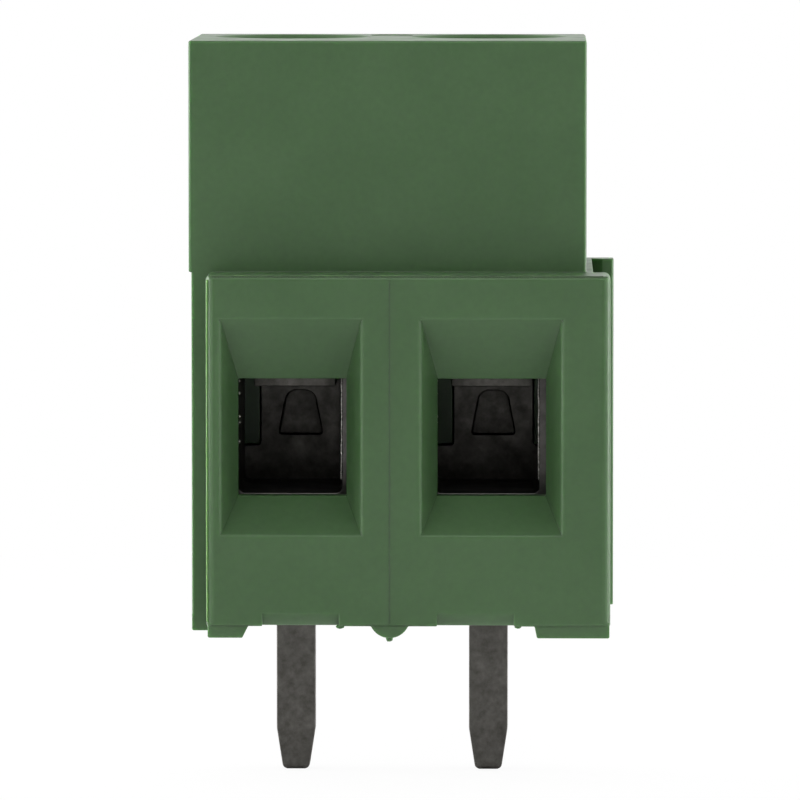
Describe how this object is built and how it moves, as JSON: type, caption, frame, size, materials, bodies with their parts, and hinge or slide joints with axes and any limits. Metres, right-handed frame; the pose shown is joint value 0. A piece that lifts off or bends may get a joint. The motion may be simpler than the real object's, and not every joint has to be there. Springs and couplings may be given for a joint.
{
  "type": "pcb screw terminal",
  "caption": "Stepped board-mount screw terminal: moulded block, funnel wire entries, rising clamp cages, slotted screws and solder pins.",
  "frame": {"origin": "on the board surface, midway between the solder pins", "axes": "+Z away from the board along the screws; the wires go in from -Y; +X towards the side with the hooked tongue"},
  "size_m": [0.0109, 0.0089, 0.0194],
  "materials": {
    "housing_plastic": "satin moulded polyamide, green",
    "tinned_strip": "dull tin plate",
    "cage_steel": "bright nickel plate, dark inside, sheared edges",
    "screw_steel": "zinc plate"
  },
  "bodies": {
    "block": {"housing": "housing_plastic", "contact_left": "tinned_strip", "contact_right": "tinned_strip"},
    "screw_left": {"clamp_screw_left": "screw_steel"},
    "screw_right": {"clamp_screw_right": "screw_steel"},
    "cage_left": {"clamp_cage_left": "cage_steel"},
    "cage_right": {"clamp_cage_right": "cage_steel"}
  },
  "joints": [
    {"name": "cage_left_rise", "type": "slide", "parent": "block", "child": "cage_left", "axis": [0, 0, 1], "range_m": [0, 0.00247]},
    {"name": "screw_left_turn", "type": "hinge", "parent": "block", "child": "screw_left", "pos_m": [-0.00254, -0.00183, 0.012], "axis": [0, 0, -1], "range_deg": [0, 1980]},
    {"name": "cage_right_rise", "type": "slide", "parent": "block", "child": "cage_right", "axis": [0, 0, 1], "range_m": [0, 0.00247]},
    {"name": "screw_right_turn", "type": "hinge", "parent": "block", "child": "screw_right", "pos_m": [0.00254, -0.00183, 0.012], "axis": [0, 0, -1], "range_deg": [0, 1980]}
  ],
  "couplings": [
    {"joint": "screw_left_turn", "follows": "cage_left_rise", "rad_per_m": 13963},
    {"joint": "screw_right_turn", "follows": "cage_right_rise", "rad_per_m": 13963}
  ]
}
